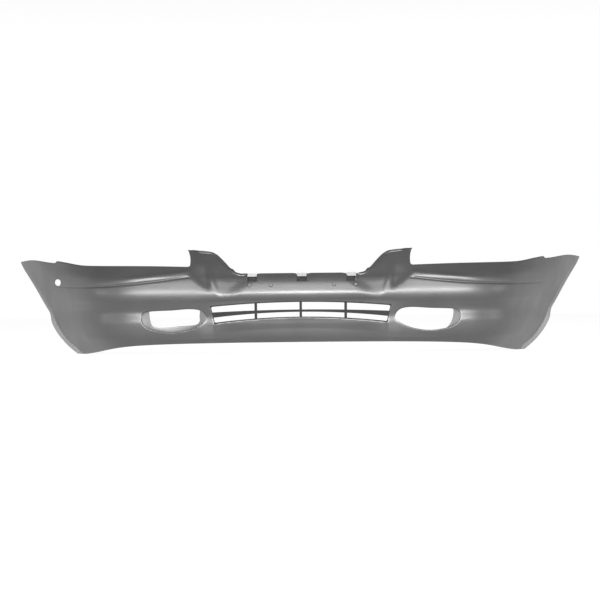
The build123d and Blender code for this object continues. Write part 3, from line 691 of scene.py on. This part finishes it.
def join_rings(faces, previous, ring, wanted=None):
    """Adds the faces between two closed rings of vertices, where they are wanted."""
    for a in range(len(ring)):
        b = (a + 1) % len(ring)
        if wanted is None or (wanted[a] and wanted[b]):
            faces.append([previous[b], previous[a], ring[a], ring[b]])


def build_skin():
    """The skin's vertices and faces, and how strong the painted highlight along the wheel arch is at each
    vertex.
    """
    points, faces = clip_skin()
    s, z = points[:, 0], points[:, 1]
    vertices = [np.column_stack(place(s, z, detail(s, z)))]
    shares = [painted_highlight_share(s, z)]
    count = len(points)
    for loop in edge_loops(faces):
        extra = detail(points[loop, 0], points[loop, 1])
        # The rolled edge carries on the painted highlight of its edge.
        band = painted_highlight_share(points[loop, 0], points[loop, 1])
        rings, strips = rolled_edge(loop, points)
        previous = loop
        for ring_s, ring_z, depth in rings:
            vertices.append(np.column_stack(place(ring_s, ring_z, depth + extra * (depth < RELIEF_DEPTH))))
            shares.append(band)
            ring = range(count, count + len(loop))
            count += len(loop)
            join_rings(faces, previous, ring)
            previous = ring
        previous = None
        for ring_s, ring_z, depth, wanted in strips:
            vertices.append(np.column_stack(place(ring_s, ring_z, depth)))
            shares.append(np.zeros(len(loop)))
            ring = range(count, count + len(loop))
            count += len(loop)
            if previous:
                join_rings(faces, previous, ring, wanted)
            previous = ring
    inside_box = np.clip(np.vstack(vertices), CAD_LOW + BOX_MARGIN, CAD_HIGH - BOX_MARGIN)
    return inside_box, faces, np.concatenate(shares)


# ---- Meshes, materials and pieces ----


# Vertex layer of the painted highlight along each wheel arch.
PAINTED_HIGHLIGHT_LAYER = "arch_painted_highlight"
SKIN_SHARP, SLEEVE_SHARP = 38, 50  # degrees between faces from which an edge is sharp


def make_mesh(name, vertices, faces, shares=None):
    """A smooth-shaded object from points in millimetres."""
    mesh = bpy.data.meshes.new(name)
    mesh.from_pydata((np.asarray(vertices) * MM).tolist(), [], [list(map(int, f)) for f in faces])
    if shares is not None:
        mesh.attributes.new(PAINTED_HIGHLIGHT_LAYER, "FLOAT", "POINT").data.foreach_set("value", shares)
    mesh.validate()
    editable = bmesh.new()
    editable.from_mesh(mesh)
    loose = [vertex for vertex in editable.verts if not vertex.link_faces]
    bmesh.ops.delete(editable, geom=loose, context="VERTS")
    editable.to_mesh(mesh)
    editable.free()
    mesh.polygons.foreach_set("use_smooth", [True] * len(mesh.polygons))
    mesh.update()
    piece = bpy.data.objects.new(name, mesh)
    bpy.context.scene.collection.objects.link(piece)
    return piece


def thicken(piece, thickness, sharp):
    """Gives the piece a wall behind its faces, in its own mesh."""
    solid = piece.modifiers.new("wall", "SOLIDIFY")
    solid.thickness = thickness * MM
    solid.offset = -1.0
    solid.use_rim = True
    view = bpy.context.evaluated_depsgraph_get()
    mesh = bpy.data.meshes.new_from_object(piece.evaluated_get(view))
    piece.modifiers.clear()
    open_mesh = piece.data
    piece.data = mesh
    bpy.data.meshes.remove(open_mesh)
    mesh.set_sharp_from_angle(angle=math.radians(sharp))


COLOUR_SCALE, COLOUR_FINE_SCALE, GLOSS_SCALE, GRAIN_SCALE = 9.0, 260.0, 14.0, 900.0
GLOSS_SPREAD = 0.035
GRAIN_STRENGTH, GRAIN_HEIGHT = 0.12, 0.0002
NOISE_LOW, NOISE_HIGH, NOISE_ROUGHNESS = 0.3, 0.7, 0.55


def finish(name, colour, roughness, level=0.5, metal=0.0, variation=0.12, band=None):
    """A finish with its colour, gloss and grain varied by noise, and a painted highlight: a lighter colour
    along the wheel arch.
    """
    material = bpy.data.materials.new(name)
    material.use_nodes = True
    nodes, links = material.node_tree.nodes, material.node_tree.links
    surface = nodes["Principled BSDF"]
    surface.inputs["Metallic"].default_value = metal
    surface.inputs["Specular IOR Level"].default_value = level
    where = nodes.new("ShaderNodeTexCoord")

    def noise(scale, octaves):
        node = nodes.new("ShaderNodeTexNoise")
        node.inputs["Scale"].default_value = scale
        node.inputs["Detail"].default_value = octaves
        node.inputs["Roughness"].default_value = NOISE_ROUGHNESS
        links.new(where.outputs["Object"], node.inputs["Vector"])
        return node.outputs["Fac"]

    def spread(source, middle, half):
        node = nodes.new("ShaderNodeMapRange")
        node.inputs["From Min"].default_value = NOISE_LOW
        node.inputs["From Max"].default_value = NOISE_HIGH
        node.inputs["To Min"].default_value = middle - half
        node.inputs["To Max"].default_value = middle + half
        links.new(source, node.inputs["Value"])
        return node.outputs[0]

    shade = nodes.new("ShaderNodeMath")
    shade.operation = "MULTIPLY"
    links.new(spread(noise(COLOUR_SCALE, 5.0), 1, variation), shade.inputs[0])
    links.new(spread(noise(COLOUR_FINE_SCALE, 3.0), 1, variation / 2), shade.inputs[1])
    tint = nodes.new("ShaderNodeVectorMath")
    tint.operation = "SCALE"
    tint.inputs[0].default_value = colour
    links.new(shade.outputs[0], tint.inputs["Scale"])
    # Painted highlight: the lighter colour is mixed in by the vertex layer along the wheel arch.
    if band:
        share = nodes.new("ShaderNodeAttribute")
        share.attribute_name = PAINTED_HIGHLIGHT_LAYER
        lighter = nodes.new("ShaderNodeMix")
        lighter.data_type = "RGBA"
        lighter.inputs["A"].default_value = (*colour, 1)
        lighter.inputs["B"].default_value = (*band, 1)
        links.new(share.outputs["Fac"], lighter.inputs["Factor"])
        links.new(lighter.outputs["Result"], tint.inputs[0])
    links.new(tint.outputs[0], surface.inputs["Base Color"])
    links.new(spread(noise(GLOSS_SCALE, 6.0), roughness, GLOSS_SPREAD), surface.inputs["Roughness"])
    grain = nodes.new("ShaderNodeBump")
    grain.inputs["Strength"].default_value = GRAIN_STRENGTH
    grain.inputs["Distance"].default_value = GRAIN_HEIGHT
    links.new(noise(GRAIN_SCALE, 2.0), grain.inputs["Height"])
    links.new(grain.outputs["Normal"], surface.inputs["Normal"])
    return material


# The skin's primer; its lighter grey along each wheel arch is a painted highlight.
PRIMER = finish("primed_skin", (0.022, 0.022, 0.0224), 0.36, level=0.55, band=(0.10, 0.10, 0.101))
# The grille's grey is darkened below the skin's primer to paint the shade inside the intake.
SHADED_GRILLE = finish("primed_grille", (0.010, 0.010, 0.0102), 0.7, level=0.1)
# The sleeves' grey is set far lighter than the skin's primer to paint the light that the pocket walls catch.
LIT_SLEEVE = finish("primed_sleeve", (0.14, 0.14, 0.141), 0.5, level=0.3)
CLIP = finish("clip_steel", (0.17, 0.17, 0.172), 0.5, level=0.3)
# A dark coat on the strips; it also paints the shade seen through the notches behind the clips.
COATED_AND_SHADED = finish("coated_strip", (0.022, 0.022, 0.0225), 0.7, level=0.15, variation=0.2)
SPRING = finish("spring_steel", (0.16, 0.16, 0.165), 0.38, metal=0.9)
NYLON = finish("black_nylon", (0.03, 0.03, 0.031), 0.45)

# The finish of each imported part, by how its name starts.
FINISHES = {
    "fascia": PRIMER, "plate": PRIMER, "intake": SHADED_GRILLE, "fog": LIT_SLEEVE, "grille_clip": CLIP,
    "top_ret": COATED_AND_SHADED, "fender": COATED_AND_SHADED, "undertray": SPRING, "arch": SPRING, "rivet": NYLON,
}


def put_on(piece, material):
    piece.data.materials.clear()
    piece.data.materials.append(material)


for node_name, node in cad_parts.items():
    for start, material in FINISHES.items():
        if node_name.startswith(start):
            put_on(node, material)

fascia = make_mesh("fascia_skin", *build_skin())
thicken(fascia, SHEET, SKIN_SHARP)
for vertex in fascia.data.vertices:
    vertex.co.z = max(vertex.co.z, cad_low[2])
put_on(fascia, PRIMER)
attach(fascia, "cover")
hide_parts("fascia")

# ---- Fog-lamp sleeves: a tapered wall from behind the skin to a window, with a narrow collar ----

SLEEVE_BACK_Y = NOSE_Y + 122
SLEEVE_FRONT_DEPTH = SHEET + 0.7
SLEEVE_WALL = 2.0
SLEEVE_GROW = 0.6  # the sleeve's front is this much wider than the opening
SLEEVE_POINTS = 120
SLEEVE_START_Z = 105.0
SLEEVE_SHARES = (0, 0.05, 0.15, 0.3, 0.45, 0.6, 0.72, 0.82, 0.9, 0.96, 1.0)  # its rings, front to back
COLLAR_GROWS = (2.5, 5.5)
STRAIGHT_BEND, HOLLOW_BEND = 1.25, 7  # the end walls taper evenly; the top and bottom turn in at the back
END_WALL = (0.62, 0.95)  # shares of the half width from the middle over which the end walls begin
WINDOW_LEFT = [
    (289, 110), (289, 96), (296, 89), (312, 85.5), (360, 82.5), (410, 80.5), (422, 85), (429, 99), (432, 122),
    (431, 133), (424, 137), (360, 138), (300, 139), (290, 135),
]
WINDOW_RIGHT = [
    (268, 98), (276, 84), (300, 71), (340, 62), (392, 62), (412, 70), (426, 84), (434, 104), (435, 124),
    (432, 133), (420, 137), (360, 138), (304, 138), (276, 124),
]


def around(outline):
    """Evenly spaced points round a closed outline, anticlockwise from the one nearest to the car's middle."""
    closed = np.vstack([outline, outline[:1]])
    area = np.sum(closed[:-1, 0] * closed[1:, 1] - closed[1:, 0] * closed[:-1, 1])
    if area < 0:
        closed = closed[::-1]
    first = np.argmin(np.hypot(*(closed[:-1] - (MOUTH[0], SLEEVE_START_Z)).T))
    closed = np.vstack([closed[first:-1], closed[:first + 1]])
    length = np.concatenate([[0], np.cumsum(np.hypot(*np.diff(closed, axis=0).T))])
    at = np.linspace(0, length[-1], SLEEVE_POINTS, endpoint=False)
    return np.column_stack([np.interp(at, length, closed[:, k]) for k in (0, 1)])


def build_sleeve(name, side, window):
    """One side's sleeve: rings for its inner face, the wall added outside them, and a collar at the back."""
    mouth = around(lamp_outline(1, SLEEVE_GROW))
    back = around(rounded(window))
    middle_x = (MOUTH[0] + MOUTH[1]) / 2
    sideness = ramp(np.abs(mouth[:, 0] - middle_x) / (MOUTH[1] - middle_x), *END_WALL)[:, None]
    rings = []
    for share in SLEEVE_SHARES:
        bend = mixed(share ** HOLLOW_BEND, share ** STRAIGHT_BEND, sideness)
        flat = mixed(mouth, back, bend)
        x, z = side * flat[:, 0], flat[:, 1]
        s = along_at_x(x, z, SLEEVE_FRONT_DEPTH)
        _, front_y, _ = place(s, z, SLEEVE_FRONT_DEPTH)
        rings.append(np.column_stack([x, mixed(front_y, SLEEVE_BACK_Y, share), z]))
    last = rings[-1]
    away = (last - last.mean(axis=0)) * (1, 0, 1)
    away = away / np.linalg.norm(away, axis=1)[:, None]
    rings += [last + away * grow for grow in COLLAR_GROWS]
    faces = []
    for k in range(len(rings) - 1):
        for a in range(SLEEVE_POINTS):
            b = (a + 1) % SLEEVE_POINTS
            here, there = k * SLEEVE_POINTS, (k + 1) * SLEEVE_POINTS
            quad = [here + a, here + b, there + b, there + a]
            faces.append(quad if side > 0 else quad[::-1])
    piece = make_mesh(name, np.vstack(rings), faces)
    thicken(piece, SLEEVE_WALL, SLEEVE_SHARP)
    put_on(piece, LIT_SLEEVE)
    return piece


for side_name, side, window in (("left", -1, WINDOW_LEFT), ("right", 1, WINDOW_RIGHT)):
    sleeve = build_sleeve("sleeve_" + side_name, side, window)
    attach(sleeve, "cover")
    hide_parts("fog_sleeve_" + side_name)

# ---- Floor, light and camera ----


FLOOR_HALF, FLOOR_Z = 12000, -0.5
FLOOR_COLOUR, FLOOR_GLOW = 0.2, 0.9

corners = [(x * FLOOR_HALF, y * FLOOR_HALF, FLOOR_Z) for x, y in ((-1, -1), (1, -1), (1, 1), (-1, 1))]
floor = make_mesh("floor", corners, [(0, 1, 2, 3)])
pale = bpy.data.materials.new("pale_floor")
pale.use_nodes = True
floor_surface = pale.node_tree.nodes["Principled BSDF"]
floor_surface.inputs["Base Color"].default_value = (FLOOR_COLOUR, FLOOR_COLOUR, FLOOR_COLOUR, 1)
floor_surface.inputs["Roughness"].default_value = 1.0
floor_surface.inputs["Specular IOR Level"].default_value = 0.0
floor_surface.inputs["Emission Color"].default_value = (1, 1, 1, 1)
floor_surface.inputs["Emission Strength"].default_value = FLOOR_GLOW
put_on(floor, pale)

# A white room that is brightest at the horizon.
SKY_FALL = {"From Min": 0.15, "From Max": 0.6, "To Min": 1.0, "To Max": 0.25}

world = bpy.data.worlds.new("studio")
world.use_nodes = True
world_nodes, world_links = world.node_tree.nodes, world.node_tree.links
world_nodes["Background"].inputs["Color"].default_value = (1, 1, 1, 1)
direction = world_nodes.new("ShaderNodeTexCoord")
parts = world_nodes.new("ShaderNodeSeparateXYZ")
fall = world_nodes.new("ShaderNodeMapRange")
for socket, value in SKY_FALL.items():
    fall.inputs[socket].default_value = value
world_links.new(direction.outputs["Generated"], parts.inputs[0])
world_links.new(parts.outputs["Z"], fall.inputs["Value"])
world_links.new(fall.outputs[0], world_nodes["Background"].inputs["Strength"])
bpy.context.scene.world = world
bpy.context.scene.view_settings.view_transform = "Standard"


# Softboxes in metres: a row in front of the cover, each (azimuth, power, height), and one above it.
AIM = (0, 0, 0.15)
ROW_DISTANCE, ROW_Z, ROW_WIDTH = 5.6, 0.45, 1.9
ROW = [
    (-84, 24, 0.45), (-39, 230, 1.15), (-20, 190, 1.15), (0, 460, 1.15), (20, 225, 1.15), (39, 275, 1.15),
    (84, 24, 0.45),
]
HIGH_AT, HIGH_WIDTH, HIGH_HEIGHT, HIGH_POWER = (0, -4.6, 2.9), 4.5, 1.2, 190


def softbox(name, place_at, width, height, power):
    lamp = bpy.data.lights.new(name, "AREA")
    lamp.shape = "RECTANGLE"
    lamp.size, lamp.size_y = width, height
    lamp.energy = power
    holder = bpy.data.objects.new(name, lamp)
    bpy.context.scene.collection.objects.link(holder)
    holder.location = place_at
    holder.rotation_euler = (Vector(AIM) - Vector(place_at)).to_track_quat("-Z", "Y").to_euler()
    holder.visible_camera = False


for number, (azimuth, power, height) in enumerate(ROW):
    angle = math.radians(azimuth)
    spot = (ROW_DISTANCE * math.sin(angle), -ROW_DISTANCE * math.cos(angle), ROW_Z)
    softbox(f"softbox_{number}", spot, ROW_WIDTH, height, power)
softbox("softbox_high", HIGH_AT, HIGH_WIDTH, HIGH_HEIGHT, HIGH_POWER)

CAMERA_AT, CAMERA_ROLL = (-0.0018, -5.33, 0.155), 0.6
CAMERA_LENS, SENSOR_WIDTH, CLIP_END = 107.7, 36, 100

camera_data = bpy.data.cameras.new("camera")
camera_data.lens = CAMERA_LENS
camera_data.sensor_width = SENSOR_WIDTH
camera_data.clip_end = CLIP_END
camera = bpy.data.objects.new("camera", camera_data)
bpy.context.scene.collection.objects.link(camera)
camera.location = CAMERA_AT
camera.rotation_euler = (math.radians(90), math.radians(CAMERA_ROLL), 0)
bpy.context.scene.camera = camera
